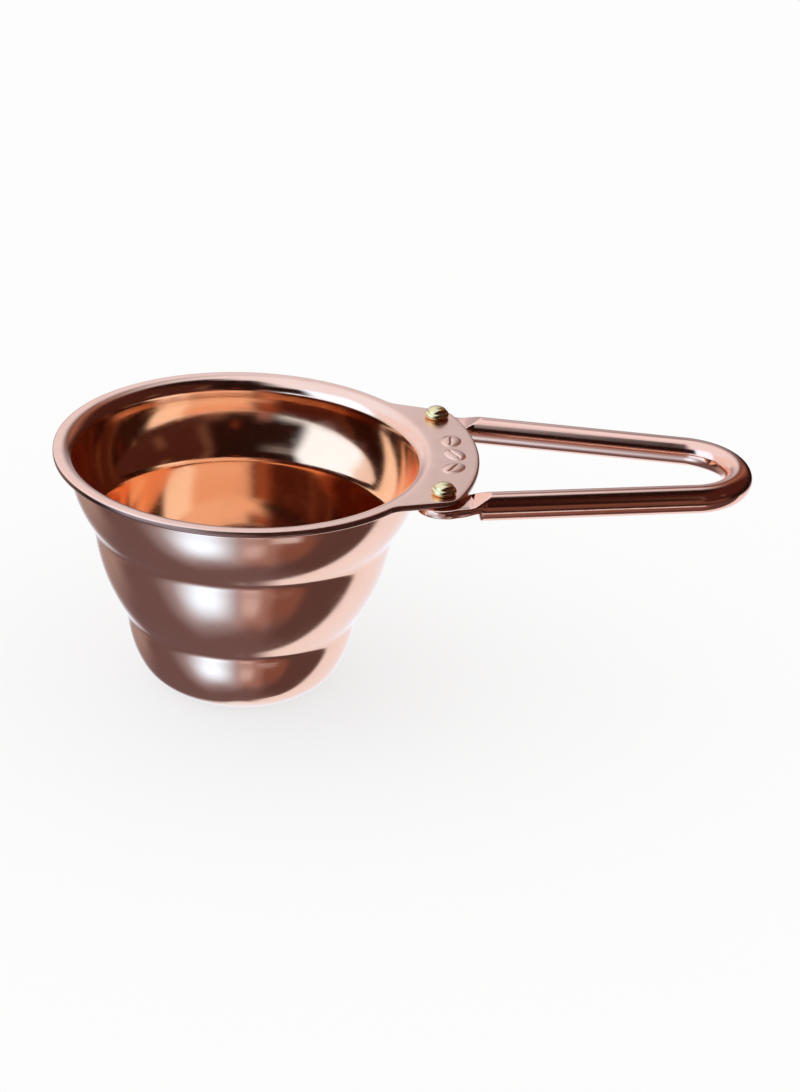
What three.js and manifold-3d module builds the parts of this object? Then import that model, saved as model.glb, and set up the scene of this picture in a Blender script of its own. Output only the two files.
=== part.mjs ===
// Coffee measuring scoop in millimetres, +Z up.
// A drawn sheet-metal bowl in three rounded tiers has a flat rim with a tab on one side.
// A bent-rod handle has its two flattened ends riveted under the tab.
// The origin is the centre of the bowl's base, and the handle points along +X.

import * as THREE from 'three';
import { mergeVertices } from 'three/addons/utils/BufferGeometryUtils.js';
import Module from 'manifold-3d';

const wasm = await Module();
wasm.setup();

// ---------------------------------------------------------------- driving dimensions

// Bowl
const SHEET = 1.0;
const RIM_RADIUS = 28.5;
const FLAT_BASE_RADIUS = 11.35;
// The outside of the bowl, from the flat base to the underside of the rim, as arcs that run
// smoothly into each other. The heading is the direction at the end of each arc, in degrees:
// 0 points outward and 90 points straight up.
const BOWL_ARCS = [
  { name: 'base edge', radius: 1.2, heading: 26, steps: 1 },
  { name: 'bottom corner', radius: 7.93, heading: 63.6, steps: 3 },
  { name: 'lower tier', radius: 17.3, heading: 86.7, steps: 2 },
  { name: 'lower neck', radius: 2.83, heading: 56.5, steps: 2 },
  { name: 'middle tier', radius: 28.6, heading: 84.35, steps: 3 },
  { name: 'upper neck', radius: 3.27, heading: 54.4, steps: 2 },
  { name: 'upper tier', radius: 17.3, heading: 86.2, steps: 3 },
  { name: 'bend into the rim', radius: 1.3, heading: 0, steps: 3 },
];
const BOWL_SEGMENTS = 72;

// Tab that grows out of the rim
const TAB_REACH = 34.55;
const TAB_SIDE_TAPER = 15;
const TAB_SIDE_DISTANCE = 23.5;
const TAB_CORNER_RADIUS = 3.0;
const TAB_FILLET_RADIUS = 3.5;
const TAB_ROOT_RADIUS = 28.0;
const TAB_ARC_EDGES = 10;

// Rivets
const RIVET_X = 28.7;
const RIVET_Y = 13.6;
const RIVET_HEAD_RADIUS = 1.85;
const RIVET_SKIRT_HEIGHT = 0.5;
const RIVET_DOME_RADIUS = 1.5;
const RIVET_DOME_STEPS = 5;
const RIVET_HEAD_HEIGHT = 1.65;
const RIVET_SHANK_RADIUS = 1.1;
const RIVET_TAIL_RADIUS = 1.75;
const RIVET_TAIL_HEIGHT = 0.8;
const RIVET_TAIL_FLAT_RADIUS = 1.05;
const RIVET_TAIL_BEVEL_HEIGHT = 0.32;
const RIVET_HOLE_RADIUS = 1.25;
const RIVET_SEGMENTS = 24;

// Handle
const ROD_RADIUS = 2.1;
const ROD_RISE = 0.2;
const LEG_TAPER = 9.03;
const BEND_CENTRE_X = 64.85;
const BEND_RADIUS = 8.55;
const ROD_START_X = 33.0;
const ROD_STEP_X = 33.9;
const ROD_SLOPE_END_X = 35.5;
const TONGUE_THICKNESS = 1.6;
const TONGUE_RADIUS = 3.8;
const TONGUE_ROOT_X = 36.5;
const TONGUE_ROOT_HALF_WIDTH = 1.5;
const ROD_SIDES = 20;
const ROD_STEPS = 56;

// Cutting solids: how far they run past what they cut, and how wide they are to cross both legs
const CUT_MARGIN = 1.0;
const CROSS_BAR_WIDTH = 54.4;

// ---------------------------------------------------------------- heights

const bowlOutside = traceBowl(0);
const RIM_TOP = bowlOutside.at(-1).y + SHEET;
const TAB_UNDERSIDE = RIM_TOP - SHEET;
const TONGUE_UNDERSIDE = TAB_UNDERSIDE - TONGUE_THICKNESS;
const ROD_CENTRE_Z = RIM_TOP + ROD_RISE - ROD_RADIUS;

// ---------------------------------------------------------------- materials

const copper = new THREE.MeshStandardMaterial({ color: 0xc98a72, metalness: 1, roughness: 0.16 });
const copperRod = new THREE.MeshStandardMaterial({ color: 0xcf9480, metalness: 1, roughness: 0.2 });
const brass = new THREE.MeshStandardMaterial({ color: 0xdfc08a, metalness: 1, roughness: 0.22 });

// ---------------------------------------------------------------- shared helpers

// Points along the bowl's wall. The inset moves the trace off the outside, into the sheet.
function traceBowl(inset) {
  const points = [new THREE.Vector2(FLAT_BASE_RADIUS, inset)];
  let heading = 0;
  for (const arc of BOWL_ARCS) {
    const endHeading = THREE.MathUtils.degToRad(arc.heading);
    const turn = Math.sign(endHeading - heading);
    const radius = arc.radius - turn * inset;
    const start = points.at(-1);
    const centreX = start.x - turn * radius * Math.sin(heading);
    const centreY = start.y + turn * radius * Math.cos(heading);
    for (let step = 1; step <= arc.steps; step += 1) {
      const angle = THREE.MathUtils.lerp(heading, endHeading, step / arc.steps);
      const x = centreX + turn * radius * Math.sin(angle);
      const y = centreY - turn * radius * Math.cos(angle);
      points.push(new THREE.Vector2(x, y));
    }
    heading = endHeading;
  }
  return points;
}

// A ring or solid turned about +Z from a profile of radius and height.
function turned(profile, segments) {
  const geometry = new THREE.LatheGeometry(profile, segments);
  geometry.rotateX(Math.PI / 2);
  return geometry;
}

// A plate with its outline in X and Y, from one height to another. An arc in an outline gets
// two edges for each of three.js's curve segments, so half of its edges are asked for.
function plate(outline, bottom, top, arcEdges) {
  const settings = { depth: top - bottom, bevelEnabled: false, curveSegments: arcEdges / 2 };
  const geometry = new THREE.ExtrudeGeometry(outline, settings);
  geometry.translate(0, 0, bottom);
  return geometry;
}

// A bar with its outline in X and Z, running across both handle legs along Y.
function crossBar(corners) {
  const outline = new THREE.Shape(corners.map(([x, z]) => new THREE.Vector2(x, z)));
  const settings = { depth: CROSS_BAR_WIDTH, bevelEnabled: false };
  const geometry = new THREE.ExtrudeGeometry(outline, settings);
  geometry.rotateX(Math.PI / 2);
  geometry.translate(0, CROSS_BAR_WIDTH / 2, 0);
  return geometry;
}

// A closed geometry as a solid that can be joined and cut.
function toSolid(geometry) {
  const bare = geometry.clone();
  bare.deleteAttribute('normal');
  bare.deleteAttribute('uv');
  const merged = mergeVertices(bare);
  const corners = merged.index.array;
  const triangles = [];
  for (let i = 0; i < corners.length; i += 3) {
    const [a, b, c] = [corners[i], corners[i + 1], corners[i + 2]];
    if (a !== b && b !== c && c !== a) {
      triangles.push(a, b, c);
    }
  }
  const mesh = new wasm.Mesh({
    numProp: 3,
    vertProperties: new Float32Array(merged.attributes.position.array),
    triVerts: new Uint32Array(triangles),
  });
  return new wasm.Manifold(mesh);
}

// A solid back as a geometry.
function toGeometry(solid) {
  const { vertProperties, triVerts } = solid.getMesh();
  const geometry = new THREE.BufferGeometry();
  geometry.setAttribute('position', new THREE.BufferAttribute(vertProperties, 3));
  geometry.setIndex(new THREE.BufferAttribute(triVerts, 1));
  geometry.computeVertexNormals();
  return geometry;
}

// Both rivet holes, as bars through everything from one height to another.
function rivetHoles(bottom, top) {
  const holes = [1, -1].map((side) => {
    const circle = new THREE.Shape();
    circle.absarc(RIVET_X, side * RIVET_Y, RIVET_HOLE_RADIUS, 0, 2 * Math.PI);
    return toSolid(plate(circle, bottom, top, RIVET_SEGMENTS));
  });
  return holes[0].add(holes[1]);
}

function namedMesh(name, geometry, material, position) {
  const mesh = new THREE.Mesh(geometry, material);
  mesh.name = name;
  mesh.position.copy(position);
  return mesh;
}

// ---------------------------------------------------------------- cup: bowl, rim and tab

// The tab's outline is symmetric about X. Each side leaves the rim in a small fillet, runs
// inward along a straight edge and rounds a corner into the end, which is concentric with the bowl.
function tabOutline() {
  const taper = THREE.MathUtils.degToRad(TAB_SIDE_TAPER);
  const square = Math.PI / 2 - taper;
  // A circle that touches the side edge, at a given distance from the bowl's axis.
  const circleAt = (offset, distance) => {
    const angle = square - Math.acos((TAB_SIDE_DISTANCE + offset) / distance);
    return { x: distance * Math.cos(angle), y: distance * Math.sin(angle), angle };
  };
  const corner = circleAt(-TAB_CORNER_RADIUS, TAB_REACH - TAB_CORNER_RADIUS);
  const fillet = circleAt(TAB_FILLET_RADIUS, RIM_RADIUS + TAB_FILLET_RADIUS);
  const outline = new THREE.Shape();
  outline.absarc(0, 0, TAB_ROOT_RADIUS, fillet.angle, -fillet.angle, true);
  outline.absarc(fillet.x, -fillet.y, TAB_FILLET_RADIUS, Math.PI - fillet.angle, square, true);
  outline.absarc(corner.x, -corner.y, TAB_CORNER_RADIUS, -square, -corner.angle, false);
  outline.absarc(0, 0, TAB_REACH, -corner.angle, corner.angle, false);
  outline.absarc(corner.x, corner.y, TAB_CORNER_RADIUS, corner.angle, square, false);
  outline.absarc(fillet.x, fillet.y, TAB_FILLET_RADIUS, -square, fillet.angle - Math.PI, true);
  return outline;
}

function cupGeometry() {
  const bowlInside = traceBowl(SHEET);
  const profile = [
    new THREE.Vector2(0, 0),
    ...bowlOutside,
    new THREE.Vector2(RIM_RADIUS, TAB_UNDERSIDE),
    new THREE.Vector2(RIM_RADIUS, RIM_TOP),
    ...bowlInside.reverse(),
    new THREE.Vector2(0, SHEET),
  ];
  const bowl = toSolid(turned(profile, BOWL_SEGMENTS));
  const tab = toSolid(plate(tabOutline(), TAB_UNDERSIDE, RIM_TOP, TAB_ARC_EDGES));
  const holes = rivetHoles(TAB_UNDERSIDE - CUT_MARGIN, RIM_TOP + CUT_MARGIN);
  return toGeometry(bowl.add(tab).subtract(holes));
}

// ---------------------------------------------------------------- handle

const legTaper = THREE.MathUtils.degToRad(LEG_TAPER);
const bendEnd = new THREE.Vector2(
  BEND_CENTRE_X + BEND_RADIUS * Math.sin(legTaper),
  BEND_RADIUS * Math.cos(legTaper),
);

// How far the leg's centreline is from the middle of the handle.
function legY(x) {
  return bendEnd.y + (bendEnd.x - x) * Math.tan(legTaper);
}

class HandleBend extends THREE.Curve {
  getPoint(t, target = new THREE.Vector3()) {
    const sweep = Math.PI / 2 - legTaper;
    const angle = THREE.MathUtils.lerp(-sweep, sweep, t);
    const x = BEND_CENTRE_X + BEND_RADIUS * Math.cos(angle);
    return target.set(x, BEND_RADIUS * Math.sin(angle), 0);
  }
}

function rodGeometry() {
  const path = new THREE.CurvePath();
  const rightStart = new THREE.Vector3(ROD_START_X, -legY(ROD_START_X), 0);
  const rightEnd = new THREE.Vector3(bendEnd.x, -bendEnd.y, 0);
  const leftStart = new THREE.Vector3(bendEnd.x, bendEnd.y, 0);
  const leftEnd = new THREE.Vector3(ROD_START_X, legY(ROD_START_X), 0);
  path.add(new THREE.LineCurve3(rightStart, rightEnd));
  path.add(new HandleBend());
  path.add(new THREE.LineCurve3(leftStart, leftEnd));
  const section = new THREE.Shape().absarc(0, 0, ROD_RADIUS, 0, 2 * Math.PI);
  const settings = { steps: ROD_STEPS, curveSegments: ROD_SIDES / 2, extrudePath: path };
  return new THREE.ExtrudeGeometry(section, settings);
}

// A flattened end: round about its rivet, with straight sides that narrow into the rod.
function tongueOutline(side) {
  const rivet = new THREE.Vector2(RIVET_X, side * RIVET_Y);
  const neckX = ROD_STEP_X - RIVET_X;
  const neckY = legY(ROD_STEP_X) - RIVET_Y;
  const contact = (edge) => {
    const across = neckY + edge * ROD_RADIUS;
    const reach = Math.hypot(neckX, across);
    return Math.atan2(across, neckX) + edge * Math.acos(TONGUE_RADIUS / reach);
  };
  const outline = new THREE.Shape();
  outline.moveTo(TONGUE_ROOT_X, side * (legY(TONGUE_ROOT_X) - TONGUE_ROOT_HALF_WIDTH));
  outline.lineTo(TONGUE_ROOT_X, side * (legY(TONGUE_ROOT_X) + TONGUE_ROOT_HALF_WIDTH));
  outline.lineTo(ROD_STEP_X, side * (legY(ROD_STEP_X) + ROD_RADIUS));
  const from = side * contact(1);
  const to = side * contact(-1);
  outline.absarc(rivet.x, rivet.y, TONGUE_RADIUS, from, to, side < 0);
  outline.lineTo(ROD_STEP_X, side * (legY(ROD_STEP_X) - ROD_RADIUS));
  return outline;
}

// Built with its rod centreline at height 0.
function handleGeometry() {
  const top = TAB_UNDERSIDE - ROD_CENTRE_Z;
  const underside = TONGUE_UNDERSIDE - ROD_CENTRE_Z;
  const clear = ROD_RADIUS + CUT_MARGIN;
  const cutStart = ROD_START_X - CUT_MARGIN;
  const slopeCorners = [
    [cutStart, top],
    [ROD_START_X, top],
    [ROD_SLOPE_END_X, ROD_RADIUS],
    [ROD_SLOPE_END_X, clear],
    [cutStart, clear],
  ];
  const stepCorners = [
    [cutStart, -clear],
    [ROD_STEP_X, -clear],
    [ROD_STEP_X, underside],
    [cutStart, underside],
  ];
  let handle = toSolid(rodGeometry());
  handle = handle.subtract(toSolid(crossBar(slopeCorners)));
  handle = handle.subtract(toSolid(crossBar(stepCorners)));
  for (const side of [1, -1]) {
    handle = handle.add(toSolid(plate(tongueOutline(side), underside, top, RIVET_SEGMENTS)));
  }
  const holes = rivetHoles(underside - CUT_MARGIN, top + CUT_MARGIN);
  return toGeometry(handle.subtract(holes));
}

// ---------------------------------------------------------------- rivets

// Built with the tab's top face at height 0. The head is a dome standing on a short skirt, and
// the shank ends in a low formed tail under the handle's flattened end.
function rivetGeometry() {
  const tailTop = -SHEET - TONGUE_THICKNESS;
  const domeHeight = RIVET_HEAD_HEIGHT - RIVET_SKIRT_HEIGHT;
  const profile = [
    new THREE.Vector2(0, tailTop - RIVET_TAIL_HEIGHT),
    new THREE.Vector2(RIVET_TAIL_FLAT_RADIUS, tailTop - RIVET_TAIL_HEIGHT),
    new THREE.Vector2(RIVET_TAIL_RADIUS, tailTop - RIVET_TAIL_BEVEL_HEIGHT),
    new THREE.Vector2(RIVET_TAIL_RADIUS, tailTop),
    new THREE.Vector2(RIVET_SHANK_RADIUS, tailTop),
    new THREE.Vector2(RIVET_SHANK_RADIUS, 0),
    new THREE.Vector2(RIVET_HEAD_RADIUS, 0),
    new THREE.Vector2(RIVET_HEAD_RADIUS, RIVET_SKIRT_HEIGHT),
  ];
  for (let step = 0; step <= RIVET_DOME_STEPS; step += 1) {
    const angle = (step / RIVET_DOME_STEPS) * (Math.PI / 2);
    const radius = step === RIVET_DOME_STEPS ? 0 : RIVET_DOME_RADIUS * Math.cos(angle);
    profile.push(new THREE.Vector2(radius, RIVET_SKIRT_HEIGHT + domeHeight * Math.sin(angle)));
  }
  return turned(profile, RIVET_SEGMENTS);
}

// ---------------------------------------------------------------- assembly

const scoop = new THREE.Group();
scoop.add(namedMesh('cup', cupGeometry(), copper, new THREE.Vector3(0, 0, 0)));
scoop.add(namedMesh('handle', handleGeometry(), copperRod, new THREE.Vector3(0, 0, ROD_CENTRE_Z)));
for (const [name, side] of [['rivet_left', 1], ['rivet_right', -1]]) {
  const seat = new THREE.Vector3(RIVET_X, side * RIVET_Y, RIM_TOP);
  scoop.add(namedMesh(name, rivetGeometry(), brass, seat));
}

export default scoop;
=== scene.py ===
"""Looks for the coffee measuring scoop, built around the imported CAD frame.

Lengths are in metres, in the row frame: the origin is the centre of the bowl's base, +Z is up
and +X runs out along the handle.
"""

import math

import bpy
from mathutils import Matrix, Vector


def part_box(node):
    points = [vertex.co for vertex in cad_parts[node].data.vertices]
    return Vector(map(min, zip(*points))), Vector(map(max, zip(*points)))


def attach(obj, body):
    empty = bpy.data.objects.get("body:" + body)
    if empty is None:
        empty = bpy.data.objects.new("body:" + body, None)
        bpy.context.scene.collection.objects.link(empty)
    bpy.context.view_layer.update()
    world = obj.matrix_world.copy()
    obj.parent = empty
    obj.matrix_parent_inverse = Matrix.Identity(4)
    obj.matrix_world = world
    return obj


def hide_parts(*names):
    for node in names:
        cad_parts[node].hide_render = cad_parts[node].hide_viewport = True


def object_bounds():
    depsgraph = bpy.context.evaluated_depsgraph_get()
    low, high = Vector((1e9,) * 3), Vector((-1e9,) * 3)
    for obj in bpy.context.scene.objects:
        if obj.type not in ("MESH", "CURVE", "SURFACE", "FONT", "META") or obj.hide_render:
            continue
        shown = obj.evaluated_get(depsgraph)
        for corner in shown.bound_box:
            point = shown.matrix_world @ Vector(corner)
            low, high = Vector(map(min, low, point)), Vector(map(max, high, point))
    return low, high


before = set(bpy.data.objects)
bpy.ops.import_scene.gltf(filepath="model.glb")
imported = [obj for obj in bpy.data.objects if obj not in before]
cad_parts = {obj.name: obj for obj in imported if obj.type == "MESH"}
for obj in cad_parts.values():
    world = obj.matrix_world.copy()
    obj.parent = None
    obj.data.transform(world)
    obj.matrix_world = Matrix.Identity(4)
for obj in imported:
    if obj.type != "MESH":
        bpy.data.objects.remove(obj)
cad_low, cad_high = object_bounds()

MM = 0.001

# ------------------------------------------------------------------ sizes taken from the frame

cup_low, cup_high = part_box("cup")
handle_low, handle_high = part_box("handle")
rivet_low, rivet_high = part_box("rivet_left")

RIM_RADIUS = -cup_low.x
RIM_TOP = cup_high.z
TAB_REACH = cup_high.x
ROD_RADIUS = (handle_high.z - handle_low.z) / 2
ROD_CENTRE_Z = (handle_high.z + handle_low.z) / 2
RIVET_X = (rivet_low.x + rivet_high.x) / 2
RIVET_Y = (rivet_low.y + rivet_high.y) / 2
RIVET_HEAD_RADIUS = (rivet_high.x - rivet_low.x) / 2
RIVET_HEAD_HEIGHT = rivet_high.z - RIM_TOP
TONGUE_RADIUS = RIVET_X - handle_low.x

# ------------------------------------------------------------------ sizes shared with the CAD

SHEET = 1.0 * MM
FLAT_BASE_RADIUS = 11.35 * MM
# The bowl's outside as arcs that run into each other: radius, and the heading at the arc's end
# in degrees, where 0 points outward and 90 straight up.
BOWL_ARCS = [
    (1.2 * MM, 26.0),
    (7.93 * MM, 63.6),
    (17.3 * MM, 86.7),
    (2.83 * MM, 56.5),
    (28.6 * MM, 84.35),
    (3.27 * MM, 54.4),
    (17.3 * MM, 86.2),
    (1.3 * MM, 0.0),
]
TAB_SIDE_TAPER = math.radians(15)
TAB_SIDE_DISTANCE = 23.5 * MM
TAB_CORNER_RADIUS = 3.0 * MM
TAB_FILLET_RADIUS = 3.5 * MM

LEG_TAPER = math.radians(9.03)
BEND_RADIUS = 8.55 * MM
BEND_CENTRE_X = handle_high.x - ROD_RADIUS - BEND_RADIUS
TONGUE_THICKNESS = 1.6 * MM
ROD_STEP_X = 33.9 * MM
FACET_START_X = 33.0 * MM
FACET_END_X = 35.5 * MM
RIVET_SHANK_RADIUS = 1.1 * MM
RIVET_HOLE_RADIUS = 1.25 * MM
RIVET_TAIL_HEIGHT = 0.8 * MM

# ------------------------------------------------------------------ fineness of the meshes

HOLE_SEGMENTS = 48
RIVET_SEGMENTS = 72
HANDLE_SIDES = 80
# Edges sharper than these stay hard.
DRILLED_EDGE = math.radians(35)
RIVET_EDGE = math.radians(60)

# ------------------------------------------------------------------ mesh helpers


def new_object(name, vertices, faces, material):
    """A smooth-shaded object with the given mesh, at the origin of the row frame."""
    mesh = bpy.data.meshes.new(name)
    mesh.from_pydata([tuple(v) for v in vertices], [], faces)
    mesh.validate()
    mesh.update()
    mesh.shade_smooth()
    mesh.materials.append(material)
    piece = bpy.data.objects.new(name, mesh)
    bpy.context.scene.collection.objects.link(piece)
    return piece


def grid_faces(rings):
    """Quads between successive rings of vertex numbers. Each ring closes on itself."""
    faces = []
    for lower, upper in zip(rings, rings[1:]):
        count = len(lower)
        for k in range(count):
            after = (k + 1) % count
            faces.append((lower[k], lower[after], upper[after], upper[k]))
    return faces


def lathe(profile, segments, centre):
    """Vertices and faces of a solid of revolution. The profile runs from axis to axis, going up
    the outside, and its first and last points are on the axis."""
    vertices = [centre + Vector((0, 0, profile[0][1]))]
    rings = []
    for radius, height in profile[1:-1]:
        ring = []
        for k in range(segments):
            angle = 2 * math.pi * k / segments
            ring.append(len(vertices))
            spot = Vector((radius * math.cos(angle), radius * math.sin(angle), height))
            vertices.append(centre + spot)
        rings.append(ring)
    top = len(vertices)
    vertices.append(centre + Vector((0, 0, profile[-1][1])))
    faces = grid_faces(rings)
    for k in range(segments):
        after = (k + 1) % segments
        faces.append((0, rings[0][after], rings[0][k]))
        faces.append((top, rings[-1][k], rings[-1][after]))
    return vertices, faces


def arc_points(centre, radius, start, end, steps):
    """Points on an arc in a plane, from one angle to another, both ends included."""
    points = []
    for k in range(steps + 1):
        angle = start + (end - start) * k / steps
        x = centre[0] + radius * math.cos(angle)
        points.append((x, centre[1] + radius * math.sin(angle)))
    return points


def smoothstep(low, high, x):
    """0 up to low, 1 from high on, and a smooth rise between them."""
    t = min(max((x - low) / (high - low), 0.0), 1.0)
    return t * t * (3 - 2 * t)


def mix(a, b, t):
    """From a at share 0 to b at share 1."""
    return a + (b - a) * t


def drill(piece, holes):
    """Cuts upright cylinders out of a piece, and keeps its hard edges hard. Each hole is a
    centre, a radius and half a length."""
    for number, (centre, radius, half_length) in enumerate(holes):
        profile = [(0, -half_length), (radius, -half_length),
                   (radius, half_length), (0, half_length)]
        vertices, faces = lathe(profile, HOLE_SEGMENTS, centre)
        tool = new_object(f"drill_{number}", vertices, faces, piece.data.materials[0])
        cut = piece.modifiers.new("drill", "BOOLEAN")
        cut.operation = "DIFFERENCE"
        cut.solver = "EXACT"
        cut.object = tool
        depsgraph = bpy.context.evaluated_depsgraph_get()
        cut_mesh = bpy.data.meshes.new_from_object(piece.evaluated_get(depsgraph))
        piece.modifiers.clear()
        piece.data = cut_mesh
        tool_mesh = tool.data
        bpy.data.objects.remove(tool)
        bpy.data.meshes.remove(tool_mesh)
    piece.data.shade_smooth()
    piece.data.set_sharp_from_angle(angle=DRILLED_EDGE)


# ------------------------------------------------------------------ node helpers


class Nodes:
    """Short calls for building a node tree."""

    def __init__(self, tree):
        self.tree = tree
        tree.nodes.clear()

    def add(self, kind, **settings):
        node = self.tree.nodes.new(kind)
        for name, value in settings.items():
            setattr(node, name, value)
        return node

    def link(self, source, target):
        self.tree.links.new(source, target)

    def feed(self, value, socket):
        """Sets a socket from another socket or from a plain value."""
        if isinstance(value, bpy.types.NodeSocket):
            self.link(value, socket)
        else:
            socket.default_value = value

    def math(self, operation, a, b=0.0):
        node = self.add("ShaderNodeMath", operation=operation)
        self.feed(a, node.inputs[0])
        self.feed(b, node.inputs[1])
        return node.outputs[0]

    def ramp(self, value, low, high, to_low=0.0, to_high=1.0):
        """Value mapped smoothly from the range low..high to to_low..to_high."""
        node = self.add("ShaderNodeMapRange", interpolation_type="SMOOTHSTEP")
        self.feed(value, node.inputs["Value"])
        self.feed(low, node.inputs["From Min"])
        self.feed(high, node.inputs["From Max"])
        self.feed(to_low, node.inputs["To Min"])
        self.feed(to_high, node.inputs["To Max"])
        return node.outputs["Result"]

    def mix_colour(self, factor, a, b):
        """From colour a at factor 0 to colour b at factor 1. The node has sockets for numbers
        and vectors too, and the ones for colours are reached by their place."""
        factor_socket, a_socket, b_socket, result_socket = 0, 6, 7, 2
        node = self.add("ShaderNodeMix", data_type="RGBA")
        self.feed(factor, node.inputs[factor_socket])
        self.feed(a, node.inputs[a_socket])
        self.feed(b, node.inputs[b_socket])
        return node.outputs[result_socket]

    def noise(self, vector, scale, detail, roughness):
        node = self.add("ShaderNodeTexNoise")
        self.feed(vector, node.inputs["Vector"])
        self.feed(scale, node.inputs["Scale"])
        self.feed(detail, node.inputs["Detail"])
        self.feed(roughness, node.inputs["Roughness"])
        return node.outputs["Fac"]


# ------------------------------------------------------------------ materials

COPPER = (0.95, 0.60, 0.44, 1)
COPPER_DEEP = (0.91, 0.53, 0.37, 1)
# Painted light: inside the bowl the copper is painted a deeper orange, standing in for light
# bounced round inside it.
INSIDE_PAINTED_BOUNCE_LIGHT = (0.95, 0.545, 0.335, 1)
# Painted shade: the upright cut edge is painted dark brown for the dark it reflects.
CUT_EDGE_PAINTED_SHADE = (0.26, 0.12, 0.09, 1)
HANDLE_COPPER = (0.94, 0.55, 0.40, 1)
HANDLE_COPPER_DEEP = (0.90, 0.48, 0.33, 1)
BRASS = (0.86, 0.68, 0.36, 1)
BRASS_DEEP = (0.74, 0.53, 0.22, 1)

# Noise scales, in cells per metre, and how far the polishing lines are drawn out.
PATCH_SCALE = 95.0
RIPPLE_SCALE = 150.0
SMUDGE_SCALE = 210.0
HAIRLINE_SCALE = 5200.0
HAIRLINE_METRES_PER_RADIAN = 0.0022
HAIRLINE_SQUEEZE_ALONG = 0.06
HAIRLINE_SHARE_OF_BUMP = 0.20
BUMP_HEIGHT = 0.01 * MM

# The part of each noise that a look rises over, from none to full.
PATCH_RANGE = (0.42, 0.72)
SMUDGE_RANGE = (0.40, 0.75)
HAIRLINE_RANGE = (0.45, 0.75)
DEEPEST_PATCH = 0.45

# Shares of a metal's own roughness: its range over the smudges, and what the lines add.
LEAST_WEAR, MOST_WEAR = 0.85, 1.35
HAIRLINE_WEAR = 0.5
# Roughness that is added to the metal's own.
SATIN_ROUGHNESS = 0.11
CUT_EDGE_ROUGHNESS = 0.1
# How much of the cut edge's colour the painted shade covers.
CUT_EDGE_SHADE_COVER = 0.85
# Depths below the rim's top where a look begins and where it is full.
SATIN_BEGINS, SATIN_FULL = 0.4 * MM, 0.1 * MM
INSIDE_BEGINS, INSIDE_FULL = 0.8 * MM, 3.0 * MM
# The bowl's inside faces up or toward the axis. How much facing up counts beside facing the
# axis, and the sums where the inside begins and is full.
UPWARD_WEIGHT = 0.7
INWARD_RANGE = (-0.1, 0.2)
# The cut edge is upright: full where the normal's height is the first of these, and gone at the
# second. It begins and is full at these heights above the rim's underside.
UPRIGHT_RANGE = (0.30, 0.60)
CUT_EDGE_BEGINS, CUT_EDGE_FULL = -0.02 * MM, 0.12 * MM


def cup_zones(nodes, x, y, z, radius, rim_top):
    """Where the cup's looks differ, each from 0 to 1: the flat rim, the bowl's inside, where a
    deeper orange is painted for bounced light, and the cut edge, where shade is painted."""
    flat_rim = nodes.ramp(z, rim_top - SATIN_BEGINS, rim_top - SATIN_FULL)
    facing = nodes.add("ShaderNodeSeparateXYZ")
    nodes.link(nodes.add("ShaderNodeNewGeometry").outputs["Normal"], facing.inputs[0])
    normal_x, normal_y, normal_z = facing.outputs
    outward = nodes.math("DIVIDE", nodes.math("ADD", nodes.math("MULTIPLY", normal_x, x),
                                              nodes.math("MULTIPLY", normal_y, y)), radius)
    inward = nodes.math("SUBTRACT", nodes.math("MULTIPLY", normal_z, UPWARD_WEIGHT), outward)
    deep_down = nodes.ramp(z, rim_top - INSIDE_FULL, rim_top - INSIDE_BEGINS, 1.0, 0.0)
    inside = nodes.math("MULTIPLY", nodes.ramp(inward, *INWARD_RANGE), deep_down)
    upright = nodes.ramp(nodes.math("ABSOLUTE", normal_z), *UPRIGHT_RANGE, 1.0, 0.0)
    underside = rim_top - SHEET
    high = nodes.ramp(z, underside + CUT_EDGE_BEGINS, underside + CUT_EDGE_FULL)
    return flat_rim, inside, nodes.math("MULTIPLY", upright, high)


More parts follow.
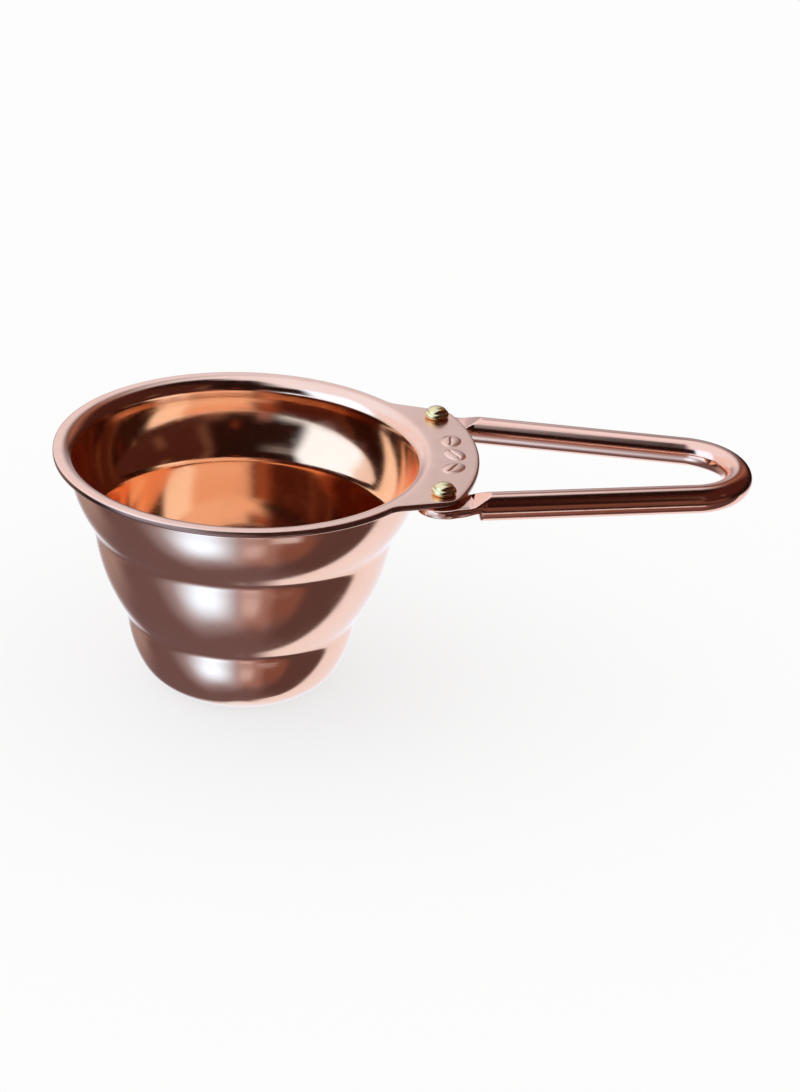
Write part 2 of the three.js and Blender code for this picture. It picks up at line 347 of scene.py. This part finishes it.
def metal(name, bright, deep, roughness, grain, rim_top=None):
    """Polished metal. The grain is the direction of the polishing lines: "around" the bowl's
    axis, or "along" the handle. With rim_top, for the cup and its grain around, the flat rim is
    satin, its cut edge is rougher and painted darker as shade, and the bowl's inside is painted a
    deeper orange for light bounced round inside it."""
    material = bpy.data.materials.new(name)
    material.use_nodes = True
    nodes = Nodes(material.node_tree)
    place = nodes.add("ShaderNodeTexCoord").outputs["Object"]
    apart = nodes.add("ShaderNodeSeparateXYZ")
    nodes.link(place, apart.inputs[0])
    x, y, z = apart.outputs

    # Tone: broad, faint patches where the plating is a little deeper in colour.
    patches = nodes.noise(place, PATCH_SCALE, detail=3.0, roughness=0.55)
    depth = nodes.ramp(patches, *PATCH_RANGE, 0.0, DEEPEST_PATCH)
    tone = nodes.mix_colour(depth, bright, deep)

    # Polishing lines: noise that is long one way and fine the other way.
    line = nodes.add("ShaderNodeCombineXYZ")
    if grain == "around":
        turn = nodes.math("ARCTAN2", y, x)
        radius = nodes.math("SQRT", nodes.math("ADD", nodes.math("MULTIPLY", x, x),
                                               nodes.math("MULTIPLY", y, y)))
        stretched = nodes.math("MULTIPLY", turn, HAIRLINE_METRES_PER_RADIAN)
        nodes.link(stretched, line.inputs[0])
        nodes.link(radius, line.inputs[1])
    else:
        nodes.link(nodes.math("MULTIPLY", x, HAIRLINE_SQUEEZE_ALONG), line.inputs[0])
        nodes.link(y, line.inputs[1])
    nodes.link(z, line.inputs[2])
    hairlines = nodes.noise(line.outputs[0], HAIRLINE_SCALE, detail=2.0, roughness=0.6)
    ripple = nodes.noise(place, RIPPLE_SCALE, detail=1.0, roughness=0.4)
    smudge = nodes.noise(place, SMUDGE_SCALE, detail=4.0, roughness=0.6)

    fine = nodes.math("MULTIPLY", hairlines, HAIRLINE_SHARE_OF_BUMP)
    bump = nodes.add("ShaderNodeBump")
    bump.inputs["Strength"].default_value = 1.0
    bump.inputs["Distance"].default_value = BUMP_HEIGHT
    nodes.link(nodes.math("ADD", fine, ripple), bump.inputs["Height"])

    # Wear: the roughness goes up and down with the smudges and along the polishing lines.
    wear = nodes.ramp(smudge, *SMUDGE_RANGE, roughness * LEAST_WEAR, roughness * MOST_WEAR)
    scored = nodes.ramp(hairlines, *HAIRLINE_RANGE, 0.0, roughness * HAIRLINE_WEAR)
    wear = nodes.math("ADD", wear, scored)
    if rim_top is not None:
        flat_rim, inside, edge = cup_zones(nodes, x, y, z, radius, rim_top)
        # Painted light: the bowl's inside is painted a deeper orange for light bounced round in
        # it.
        tone = nodes.mix_colour(inside, tone, INSIDE_PAINTED_BOUNCE_LIGHT)
        # Painted shade: the upright cut edge is painted darker for the dark it reflects, and it is
        # also made rougher.
        painted_edge_shade = nodes.math("MULTIPLY", edge, CUT_EDGE_SHADE_COVER)
        tone = nodes.mix_colour(painted_edge_shade, tone, CUT_EDGE_PAINTED_SHADE)
        satin = nodes.math("MULTIPLY", flat_rim, SATIN_ROUGHNESS)
        rougher = nodes.math("MULTIPLY", edge, CUT_EDGE_ROUGHNESS)
        wear = nodes.math("ADD", wear, nodes.math("ADD", satin, rougher))
    shader = nodes.add("ShaderNodeBsdfPrincipled")
    shader.inputs["Metallic"].default_value = 1.0
    nodes.link(tone, shader.inputs["Base Color"])
    nodes.link(wear, shader.inputs["Roughness"])
    nodes.link(bump.outputs[0], shader.inputs["Normal"])
    output = nodes.add("ShaderNodeOutputMaterial")
    nodes.link(shader.outputs[0], output.inputs[0])
    return material


# ------------------------------------------------------------------ cup


def trace_bowl(inset):
    """Points (radius, height) up the bowl's wall. The inset moves the trace into the sheet."""
    longest_step = 0.75 * MM
    sharpest_step = math.radians(7)
    points = [(FLAT_BASE_RADIUS, inset)]
    heading = 0.0
    for arc_radius, end_degrees in BOWL_ARCS:
        end = math.radians(end_degrees)
        turn = math.copysign(1, end - heading)
        radius = arc_radius - turn * inset
        sweep = abs(end - heading)
        steps = max(math.ceil(radius * sweep / longest_step), math.ceil(sweep / sharpest_step))
        start_r, start_z = points[-1]
        centre_r = start_r - turn * radius * math.sin(heading)
        centre_z = start_z + turn * radius * math.cos(heading)
        for k in range(1, steps + 1):
            angle = mix(heading, end, k / steps)
            r = centre_r + turn * radius * math.sin(angle)
            points.append((r, centre_z - turn * radius * math.cos(angle)))
        heading = end
    return points


def tab_circle(offset, distance):
    """The centre of a circle that touches the tab's left side, and its angle about the bowl."""
    square = math.pi / 2 - TAB_SIDE_TAPER
    angle = square - math.acos((TAB_SIDE_DISTANCE + offset) / distance)
    return (distance * math.cos(angle), distance * math.sin(angle)), angle


def rim_outline():
    """The outline of rim and tab seen from above, as (x, y, outward normal angle), going
    anticlockwise from the middle of the tab's end."""
    square = math.pi / 2 - TAB_SIDE_TAPER
    corner, corner_angle = tab_circle(-TAB_CORNER_RADIUS, TAB_REACH - TAB_CORNER_RADIUS)
    fillet, fillet_angle = tab_circle(TAB_FILLET_RADIUS, RIM_RADIUS + TAB_FILLET_RADIUS)
    end_steps = 22
    half = []
    for k in range(end_steps):
        angle = corner_angle * k / end_steps
        half.append((TAB_REACH * math.cos(angle), TAB_REACH * math.sin(angle), angle))
    corner_steps = 12
    for k in range(corner_steps + 1):
        angle = mix(corner_angle, square, k / corner_steps)
        x = corner[0] + TAB_CORNER_RADIUS * math.cos(angle)
        half.append((x, corner[1] + TAB_CORNER_RADIUS * math.sin(angle), angle))
    fillet_steps = 12
    bend = []
    for k in range(fillet_steps):
        angle = mix(square, fillet_angle, k / fillet_steps)
        x = fillet[0] - TAB_FILLET_RADIUS * math.cos(angle)
        bend.append((x, fillet[1] - TAB_FILLET_RADIUS * math.sin(angle), angle))
    side_steps = 10
    start, end = half[-1], bend[0]
    for k in range(1, side_steps):
        t = k / side_steps
        half.append((mix(start[0], end[0], t), mix(start[1], end[1], t), square))
    half += bend
    rim_steps = 110
    for k in range(rim_steps):
        angle = mix(fillet_angle, math.pi, k / rim_steps)
        half.append((RIM_RADIUS * math.cos(angle), RIM_RADIUS * math.sin(angle), angle))
    mirrored = [(x, -y, -angle) for x, y, angle in reversed(half[1:])]
    return half + [(-RIM_RADIUS, 0.0, math.pi)] + mirrored


def cup_mesh():
    """The bowl, its rim and the tab as one closed sheet. Every column of vertices is a section
    through the bowl's axis that ends at one point of the rim's outline."""
    edge_round = 0.3 * MM
    edge_steps = 6
    outline = rim_outline()
    outside = trace_bowl(0.0)
    inside = trace_bowl(SHEET)[::-1]
    floor_shares = (0.3, 0.6, 0.85, 0.97)
    flange_shares = (0.12, 0.4, 0.7, 0.94)
    underside = RIM_TOP - SHEET
    vertices = [Vector((0, 0, 0))]
    rings = []

    def ring_at(place):
        """One vertex for each point of the outline, where place(x, y, normal) puts it."""
        ring = []
        for x, y, normal in outline:
            ring.append(len(vertices))
            vertices.append(Vector(place(x, y, normal)))
        rings.append(ring)

    def turned_ring(radius, height):
        """Round, about the bowl's axis."""
        def place(x, y, _normal):
            stretch = radius / math.hypot(x, y)
            return x * stretch, y * stretch, height
        ring_at(place)

    def flange_ring(share, inward, height):
        """Between the wall at share 0 and the outline at share 1, set in from the outline."""
        def place(x, y, normal):
            wall = outside[-1][0] / math.hypot(x, y)
            edge_x = x - inward * math.cos(normal)
            edge_y = y - inward * math.sin(normal)
            return mix(x * wall, edge_x, share), mix(y * wall, edge_y, share), height
        ring_at(place)

    for share in floor_shares:
        turned_ring(FLAT_BASE_RADIUS * share, 0.0)
    for radius, height in outside:
        turned_ring(radius, height)
    for share in flange_shares:
        flange_ring(share, edge_round, underside)
    for k in range(edge_steps + 1):
        angle = math.pi / 2 * k / edge_steps
        inward = edge_round * (1 - math.sin(angle))
        flange_ring(1.0, inward, underside + edge_round * (1 - math.cos(angle)))
    for k in range(edge_steps + 1):
        angle = math.pi / 2 * k / edge_steps
        inward = edge_round * (1 - math.cos(angle))
        flange_ring(1.0, inward, RIM_TOP - edge_round * (1 - math.sin(angle)))
    for share in reversed(flange_shares):
        flange_ring(share, edge_round, RIM_TOP)
    for radius, height in inside:
        turned_ring(radius, height)
    for share in reversed(floor_shares):
        turned_ring(FLAT_BASE_RADIUS * share, SHEET)

    top = len(vertices)
    vertices.append(Vector((0, 0, SHEET)))
    faces = grid_faces(rings)
    count = len(outline)
    for k in range(count):
        after = (k + 1) % count
        faces.append((0, rings[0][after], rings[0][k]))
        faces.append((top, rings[-1][k], rings[-1][after]))
    return vertices, faces


def bean_relief(centre, heading, length, width, height, surface):
    """A coffee bean stamped up from a flat surface: a low pillow with a wavy crease along it.
    Its outline lies just under the surface, and its underside is hidden in the sheet."""
    around, across = 64, 26
    depth = 0.2 * MM
    below_surface = 0.004 * MM
    crease_wave, crease_width, crease_depth = 0.10, 0.11, 0.7
    crease_fades, crease_ends = 0.60, 0.86
    turn = Matrix.Rotation(heading, 3, "Z")

    def relief(u, v):
        """Height as a share of the full height. u and v are -1 to 1 along and across."""
        reach = math.hypot(u, v)
        pillow = 1 - reach ** 4
        aside = v - crease_wave * math.sin(math.pi * u)
        crease = math.exp(-(aside / crease_width) ** 2)
        crease *= 1 - smoothstep(crease_fades, crease_ends, reach)
        return pillow * (1 - crease_depth * crease)

    def spot(u, v, z):
        flat = turn @ Vector((u * length / 2, v * width / 2, 0))
        return Vector((centre[0] + flat.x, centre[1] + flat.y, z))

    vertices = []
    rings = []
    for row in range(across, 0, -1):
        ring = []
        for k in range(around):
            angle = 2 * math.pi * k / around
            u, v = row / across * math.cos(angle), row / across * math.sin(angle)
            ring.append(len(vertices))
            vertices.append(spot(u, v, surface + height * relief(u, v) - below_surface))
        rings.append(ring)
    faces = grid_faces(rings)
    peak = len(vertices)
    vertices.append(spot(0, 0, surface + height * relief(0, 0) - below_surface))
    inner = rings[-1]
    for k in range(around):
        faces.append((inner[k], inner[(k + 1) % around], peak))
    sunk = []
    for number in rings[0]:
        sunk.append(len(vertices))
        vertices.append(vertices[number] - Vector((0, 0, depth)))
    faces += grid_faces([sunk, rings[0]])
    faces.append(tuple(reversed(sunk)))
    return vertices, faces


def make_cup():
    """The cup in polished copper, with its two rivet holes."""
    material = metal("polished_copper", COPPER, COPPER_DEEP, roughness=0.105, grain="around",
                     rim_top=RIM_TOP)
    vertices, faces = cup_mesh()
    cup = new_object("cup_skin", vertices, faces, material)
    middle = RIM_TOP - SHEET / 2
    drill(cup, [(Vector((RIVET_X, side * RIVET_Y, middle)), RIVET_HOLE_RADIUS, SHEET)
                for side in (1, -1)])
    return cup


def make_beans(material):
    """The stamped motif on the tab: three beans in a row on an arc about the bowl's axis."""
    length, width, height = 4.3 * MM, 3.1 * MM, 0.17 * MM
    row_radius = 30.9 * MM
    pitch = math.radians(8.9)
    leans = [math.radians(lean) for lean in (62, 112, 70)]
    vertices, faces = [], []
    for k, lean in enumerate(leans):
        angle = pitch * (k - 1)
        centre = (row_radius * math.cos(angle), row_radius * math.sin(angle))
        more_vertices, more_faces = bean_relief(
            centre, angle + lean, length, width, height, RIM_TOP)
        shift = len(vertices)
        vertices += more_vertices
        faces += [tuple(v + shift for v in face) for face in more_faces]
    return new_object("tab_motif", vertices, faces, material)


# ------------------------------------------------------------------ handle

BEND_END = Vector((BEND_CENTRE_X + BEND_RADIUS * math.sin(LEG_TAPER),
                   BEND_RADIUS * math.cos(LEG_TAPER)))


def leg_y(x):
    """The straight part of the left leg's centreline."""
    return BEND_END.y + (BEND_END.x - x) * math.tan(LEG_TAPER)


def handle_y(x):
    """The left leg's centreline: straight through the rivet, then along the rod."""
    to_rod = smoothstep(RIVET_X + 1.5 * MM, ROD_STEP_X + 1.0 * MM, x)
    return mix(RIVET_Y, leg_y(x), to_rod)


def tongue_half_width(x):
    """Round about the rivet, then straight sides that narrow to the rod."""
    reach = ROD_STEP_X - RIVET_X
    contact = math.atan2(ROD_RADIUS, reach)
    contact += math.acos(TONGUE_RADIUS / math.hypot(reach, ROD_RADIUS))
    touch = TONGUE_RADIUS * math.cos(contact)
    along = x - RIVET_X
    if along <= touch:
        return math.sqrt(max(TONGUE_RADIUS ** 2 - along ** 2, 0.0))
    share = min((along - touch) / (reach - touch), 1.0)
    return mix(TONGUE_RADIUS * math.sin(contact), ROD_RADIUS, share)


def softer_min(a, b, blend):
    """The smaller of two values, with the corner where they cross rounded off."""
    overlap = max(blend - abs(a - b), 0.0) / blend
    return min(a, b) - overlap * overlap * blend / 4


class Section:
    """The leg's cross-section at x: a bar whose upper and lower halves have their own heights and
    squareness (2 is round, more is a flat bar with rounded edges), trimmed by a flat facet.
    Heights are from the rod's centre."""

    BAR_SQUARENESS = 5.5
    ROUND_SQUARENESS = 2.0
    FACET_CLEARANCE = 0.02 * MM
    FACET_BLEND = 0.12 * MM
    TIP_THINNING = 0.3

    def __init__(self, x):
        tongue_top = RIM_TOP - SHEET - ROD_CENTRE_Z
        tongue_middle = tongue_top - TONGUE_THICKNESS / 2
        # Each half of the bar turns into the rod over its own stretch about the step.
        to_rod = smoothstep(ROD_STEP_X - 1.6 * MM, ROD_STEP_X + 0.8 * MM, x)
        to_round = smoothstep(ROD_STEP_X - 3.0 * MM, ROD_STEP_X - 0.4 * MM, x)
        drop = smoothstep(ROD_STEP_X - 0.45 * MM, ROD_STEP_X + 0.35 * MM, x)
        climb = (x - FACET_START_X) / (FACET_END_X - FACET_START_X)
        self.half = tongue_half_width(x)
        self.waist = mix(tongue_middle, 0.0, to_rod)
        self.top = mix(tongue_top, ROD_RADIUS, to_rod)
        self.bottom = mix(tongue_top - TONGUE_THICKNESS, -ROD_RADIUS, drop)
        self.square_above = mix(self.BAR_SQUARENESS, self.ROUND_SQUARENESS, to_rod)
        self.square_below = mix(self.BAR_SQUARENESS, self.ROUND_SQUARENESS, to_round)
        self.facet = mix(tongue_top, ROD_RADIUS, max(climb, 0.0)) + self.FACET_CLEARANCE
        if x < RIVET_X:
            # The tongue's rounded tip: its edge thins as the plan view turns the corner.
            slim = self.TIP_THINNING * (1 - min(self.half / TONGUE_RADIUS, 1.0)) ** 3
            self.top = mix(self.top, self.waist, slim)
            self.bottom = mix(self.bottom, self.waist, slim)

    def point(self, angle):
        """The offset across and the height of a point of the outline."""
        c, s = math.cos(angle), math.sin(angle)
        square = self.square_above if s >= 0 else self.square_below
        across = self.half * math.copysign(abs(c) ** (2 / square), c)
        if s >= 0:
            height = self.waist + (self.top - self.waist) * s ** (2 / square)
        else:
            height = self.waist - (self.waist - self.bottom) * (-s) ** (2 / square)
        return across, softer_min(height, self.facet, self.FACET_BLEND)


def handle_stations():
    """x along a leg, from the tongue's tip to the bend, closest where the tongue becomes rod."""
    stations = []
    tip_steps = 18
    for k in range(1, tip_steps + 1):
        angle = math.pi / 2 * k / tip_steps
        stations.append(RIVET_X - TONGUE_RADIUS * math.cos(angle))
    # The start, the end and the number of steps of each stretch.
    for start, end, steps in (
        (RIVET_X, ROD_STEP_X - 1.6 * MM, 12),
        (ROD_STEP_X - 1.6 * MM, ROD_STEP_X - 0.5 * MM, 8),
        (ROD_STEP_X - 0.5 * MM, ROD_STEP_X + 0.4 * MM, 14),
        (ROD_STEP_X + 0.4 * MM, ROD_STEP_X + 2.4 * MM, 14),
        (ROD_STEP_X + 2.4 * MM, BEND_END.x, 14),
    ):
        stations += [mix(start, end, k / steps) for k in range(1, steps + 1)]
    return stations


def handle_mesh():
    """One tube of rings from the right tongue's tip, round the bend, to the left tongue's tip."""
    vertices = []
    rings = []

    def add_ring(centre, lateral, outline_point):
        """A ring about a centre, where outline_point(angle) gives the way across and up."""
        ring = []
        for k in range(HANDLE_SIDES):
            across, height = outline_point(2 * math.pi * k / HANDLE_SIDES)
            ring.append(len(vertices))
            vertices.append(centre + lateral * across + Vector((0, 0, height)))
        rings.append(ring)

    def leg(side, stations):
        """The rings of one leg, square to its centreline."""
        step = 0.05 * MM
        for x in stations:
            slope = side * (handle_y(x + step) - handle_y(x - step)) / (2 * step)
            # The rings are numbered the same way round all along the handle.
            lateral = Vector((slope, -1, 0)).normalized() * side
            add_ring(Vector((x, side * handle_y(x), ROD_CENTRE_Z)), lateral, Section(x).point)

    def rod_point(angle):
        return ROD_RADIUS * math.cos(angle), ROD_RADIUS * math.sin(angle)

    stations = handle_stations()
    leg(-1, stations)
    sweep = math.pi / 2 - LEG_TAPER
    bend_steps = 60
    for k in range(1, bend_steps):
        angle = mix(-sweep, sweep, k / bend_steps)
        outward = Vector((math.cos(angle), math.sin(angle), 0))
        centre = Vector((BEND_CENTRE_X, 0, ROD_CENTRE_Z)) + outward * BEND_RADIUS
        add_ring(centre, -outward, rod_point)
    leg(1, list(reversed(stations)))

    faces = grid_faces(rings)
    tongue_middle = RIM_TOP - SHEET - TONGUE_THICKNESS / 2
    for ring, side, flip in ((rings[0], -1, False), (rings[-1], 1, True)):
        tip = len(vertices)
        vertices.append(Vector((RIVET_X - TONGUE_RADIUS, side * RIVET_Y, tongue_middle)))
        for k in range(HANDLE_SIDES):
            after = (k + 1) % HANDLE_SIDES
            faces.append((tip, ring[k], ring[after]) if flip else (tip, ring[after], ring[k]))
    return vertices, faces


def make_handle():
    """The handle in its own copper, with a rivet hole in each tongue."""
    material = metal("handle_copper", HANDLE_COPPER, HANDLE_COPPER_DEEP, roughness=0.10,
                     grain="along")
    vertices, faces = handle_mesh()
    handle = new_object("handle_rod", vertices, faces, material)
    middle = RIM_TOP - SHEET - TONGUE_THICKNESS / 2
    drill(handle, [(Vector((RIVET_X, side * RIVET_Y, middle)), RIVET_HOLE_RADIUS, TONGUE_THICKNESS)
                   for side in (1, -1)])
    return handle


# ------------------------------------------------------------------ rivets


def rivet_profile():
    """From the tail's middle, up the outside, to the top of the head, as (radius, height).
    Height 0 is the tab's top."""
    tail_top = -SHEET - TONGUE_THICKNESS
    tail_radius = 1.75 * MM
    tail_round = 0.5 * MM
    tail_steps = 6
    swell = 0.5 * MM
    swell_end = math.radians(72)
    swell_steps = 16
    cap_radius, cap_base = 1.46 * MM, 0.96 * MM
    cap_start = math.radians(4)
    cap_fullness = 0.75
    cap_steps = 18
    points = [(0, tail_top - RIVET_TAIL_HEIGHT)]
    tail_centre = (tail_radius - tail_round, tail_top - RIVET_TAIL_HEIGHT + tail_round)
    points += arc_points(tail_centre, tail_round, -math.pi / 2, 0.0, tail_steps)
    points += [(tail_radius, tail_top), (RIVET_SHANK_RADIUS, tail_top), (RIVET_SHANK_RADIUS, 0)]
    # The head's lower part swells out above the tab, up to a shallow groove.
    points += arc_points((RIVET_HEAD_RADIUS - swell, swell), swell,
                         -math.pi / 2, swell_end, swell_steps)
    # A low rounded cap stands on it.
    cap_height = RIVET_HEAD_HEIGHT - cap_base
    for k in range(cap_steps + 1):
        angle = mix(cap_start, math.pi / 2, k / cap_steps)
        r = cap_radius * math.cos(angle) ** cap_fullness if k < cap_steps else 0.0
        points.append((r, cap_base + cap_height * math.sin(angle)))
    return points


def make_rivet(name, side, material):
    """A rivet through the tab and a tongue. Side is 1 on the left, +Y, and -1 on the right."""
    seat = Vector((RIVET_X, side * RIVET_Y, RIM_TOP))
    vertices, faces = lathe(rivet_profile(), RIVET_SEGMENTS, seat)
    rivet = new_object(name, vertices, faces, material)
    rivet.data.set_sharp_from_angle(angle=RIVET_EDGE)
    return rivet


# ------------------------------------------------------------------ studio


def make_floor():
    """A plain pale floor that partly glows by itself, so that the object's shadow stays faint.
    Polished metal mirrors the studio, not the floor."""
    half = 3.0
    glow = 0.7
    gap = 0.05 * MM
    warm_white = (0.95, 0.945, 0.94, 1)
    material = bpy.data.materials.new("studio_floor")
    material.use_nodes = True
    nodes = Nodes(material.node_tree)
    matt = nodes.add("ShaderNodeBsdfDiffuse")
    matt.inputs["Color"].default_value = warm_white
    lit = nodes.add("ShaderNodeEmission")
    lit.inputs["Color"].default_value = (1.0, 1.0, 1.0, 1)
    shader = nodes.add("ShaderNodeMixShader")
    shader.inputs[0].default_value = glow
    nodes.link(matt.outputs[0], shader.inputs[1])
    nodes.link(lit.outputs[0], shader.inputs[2])
    output = nodes.add("ShaderNodeOutputMaterial")
    nodes.link(shader.outputs[0], output.inputs[0])
    height = cad_low.z - gap
    corners = [(-half, -half), (half, -half), (half, half), (-half, half)]
    vertices = [Vector((x, y, height)) for x, y in corners]
    floor = new_object("studio_floor", vertices, [(0, 1, 2, 3)], material)
    floor.visible_glossy = False
    floor.visible_shadow = False


# Soft panels of light and dark around the object. A later panel covers an earlier one. Each is a
# name, the azimuth and elevation of its middle, its half width and half height, its softness
# across and upward, all in degrees, and the colour of its light. Azimuth 0 is -Y, the camera's
# side, and 90 is +X.
STUDIO_PANELS = [
    ("table", 0, -64, 181, 36, 2, 16, (0.165, 0.118, 0.135)),
    ("left glow", -146, -26, 30, 12, 24, 20, (0.42, 0.36, 0.36)),
    ("right wall", 92, 32, 62, 28, 20, 20, (0.065, 0.021, 0.017)),
    ("glow on the right wall", 154, 34, 9, 22, 34, 20, (0.40, 0.20, 0.15)),
    ("sky", -118, 62, 66, 60, 24, 36, (0.96, 1.17, 1.50)),
    ("low sky", -140, 20, 44, 15, 24, 16, (0.94, 0.98, 1.14)),
    ("sky overhead right", -62, 90, 40, 46, 34, 16, (0.96, 1.17, 1.50)),
    ("sky overhead back", 178, 90, 34, 38, 44, 20, (0.98, 1.14, 1.42)),
    ("zenith", 0, 90, 181, 7, 2, 12, (0.85, 0.95, 1.2)),
    ("back wall", 182, -1, 16, 17, 14, 20, (0.42, 0.45, 0.56)),
    ("high window", -67, 26, 25, 22, 12, 14, (1.12, 1.74, 2.62)),
    ("low window", -50, -10, 30, 19, 20, 12, (1.02, 1.48, 2.10)),
    ("window edge", -8, -18, 14, 12, 18, 12, (0.44, 0.34, 0.37)),
    ("front shelf", 24, 3, 8, 9, 10, 12, (0.19, 0.10, 0.08)),
    ("front shelf at the left", -11, 5, 5, 8, 6, 10, (0.30, 0.18, 0.18)),
    ("front wall", 30, -8, 44, 8, 26, 12, (0.16, 0.075, 0.06)),
    ("front grey strip", 33, 29, 4, 14, 7, 13, (0.13, 0.07, 0.056)),
    ("front warm spot", 9, 19, 2.5, 4, 5, 7, (0.16, 0.035, 0.02)),
    ("front pale spot", 68, 22, 4, 6, 8, 8, (0.15, 0.08, 0.06)),
    ("right table", 76, -46, 32, 28, 24, 18, (0.11, 0.065, 0.065)),
    ("front table", 12, -50, 22, 15, 12, 12, (0.35, 0.23, 0.23)),
    ("warm edge of the table", 40, -45, 13, 13, 12, 18, (0.23, 0.105, 0.085)),
    ("window glow on the table", -33, -46, 32, 19, 34, 24, (0.44, 0.48, 0.62)),
    ("window on the table", -31, -44.5, 17, 11, 29, 20, (1.10, 1.80, 2.60)),
    ("pale patch on the table", 8, -48, 8, 8, 11, 11, (0.62, 0.58, 0.65)),
    ("pale streak on the table", 29.5, -35, 10, 3.5, 10, 2, (0.88, 0.98, 1.15)),
    ("right reflector", 140, -50, 38, 30, 8, 12, (0.94, 1.01, 1.15)),
    ("back reflector", 180, -50, 17, 32, 26, 14, (0.95, 1.10, 1.28)),
]
STUDIO_DARK = (0.020, 0.008, 0.007)
STUDIO_PALE = (1.0, 1.0, 1.0)


def soft_band(nodes, distance, half, softness):
    """1 near the middle of a panel and 0 outside it. The half width and the softness of the edge
    are in degrees, and the distance is in radians."""
    inner, outer = half - softness / 2, half + softness / 2
    return nodes.ramp(distance, math.radians(inner), math.radians(outer), 1.0, 0.0)


def make_studio():
    """The studio's panels as a sky that only reflections see. The floor and the camera get plain
    even light."""
    world = bpy.data.worlds.new("studio")
    bpy.context.scene.world = world
    world.use_nodes = True
    world.cycles.sampling_method = "NONE"
    nodes = Nodes(world.node_tree)
    direction = nodes.add("ShaderNodeTexCoord").outputs["Generated"]
    height = nodes.add("ShaderNodeSeparateXYZ")
    nodes.link(direction, height.inputs[0])
    elevation = nodes.math("ARCSINE", height.outputs[2])
    colour = (*STUDIO_DARK, 1)
    for _, azimuth, middle, half_width, half_height, soft_across, soft_up, light in STUDIO_PANELS:
        turned = nodes.add("ShaderNodeVectorRotate", rotation_type="Z_AXIS")
        nodes.link(direction, turned.inputs["Vector"])
        turned.inputs["Angle"].default_value = -math.radians(azimuth)
        apart = nodes.add("ShaderNodeSeparateXYZ")
        nodes.link(turned.outputs[0], apart.inputs[0])
        toward = nodes.math("MULTIPLY", apart.outputs[1], -1.0)
        aside = nodes.math("ABSOLUTE", nodes.math("ARCTAN2", apart.outputs[0], toward))
        above = nodes.math("SUBTRACT", elevation, math.radians(middle))
        above = nodes.math("ABSOLUTE", above)
        across = soft_band(nodes, aside, half_width, soft_across)
        upward = soft_band(nodes, above, half_height, soft_up)
        share = nodes.math("MULTIPLY", across, upward)
        colour = nodes.mix_colour(share, colour, (*light, 1))
    sky = nodes.add("ShaderNodeBackground")
    nodes.link(colour, sky.inputs["Color"])
    plain = nodes.add("ShaderNodeBackground")
    plain.inputs["Color"].default_value = (*STUDIO_PALE, 1)
    path = nodes.add("ShaderNodeLightPath")
    either = nodes.add("ShaderNodeMixShader")
    nodes.link(path.outputs["Is Glossy Ray"], either.inputs[0])
    nodes.link(plain.outputs[0], either.inputs[1])
    nodes.link(sky.outputs[0], either.inputs[2])
    output = nodes.add("ShaderNodeOutputWorld")
    nodes.link(either.outputs[0], output.inputs[0])


def make_camera():
    """Above and in front of the scoop, turned a little, with a long lens, as in the photo. It
    stands back from the rim's centre, then beside and below that line."""
    azimuth = math.radians(-3.019)
    elevation = math.radians(26.413)
    roll = math.radians(3.287)
    distance = 427.1 * MM
    beside = 22.71 * MM
    below = 14.60 * MM
    back = Vector((math.sin(azimuth) * math.cos(elevation),
                   -math.cos(azimuth) * math.cos(elevation),
                   math.sin(elevation)))
    right = Vector((math.cos(azimuth), math.sin(azimuth), 0))
    up = back.cross(right)
    rolled_right = right * math.cos(roll) + up * math.sin(roll)
    rolled_up = up * math.cos(roll) - right * math.sin(roll)
    rim_centre = Vector((0, 0, RIM_TOP))
    camera = bpy.data.cameras.new("camera")
    camera.lens = 95.17
    camera.sensor_width = 36.0
    camera.clip_start = 0.01
    camera.clip_end = 20.0
    viewer = bpy.data.objects.new("camera", camera)
    turn = Matrix((rolled_right, rolled_up, back)).transposed().to_4x4()
    place = rim_centre + back * distance + rolled_right * beside - rolled_up * below
    viewer.matrix_world = Matrix.Translation(place) @ turn
    bpy.context.scene.collection.objects.link(viewer)
    bpy.context.scene.camera = viewer


# ------------------------------------------------------------------ assembly

make_camera()
make_studio()
make_floor()
bpy.context.scene.view_settings.view_transform = "Standard"
# Light goes round inside the bowl many times before it comes out.
BOUNCES = 16
bpy.context.scene.cycles.max_bounces = BOUNCES
bpy.context.scene.cycles.glossy_bounces = BOUNCES

cup = make_cup()
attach(cup, "root")
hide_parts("cup")

beans = make_beans(cup.data.materials[0])
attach(beans, "root")

handle = make_handle()
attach(handle, "root")
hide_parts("handle")

brass = metal("rivet_brass", BRASS, BRASS_DEEP, roughness=0.14, grain="along")
for node, side in (("rivet_left", 1), ("rivet_right", -1)):
    rivet = make_rivet(f"{node}_head", side, brass)
    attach(rivet, "root")
    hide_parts(node)
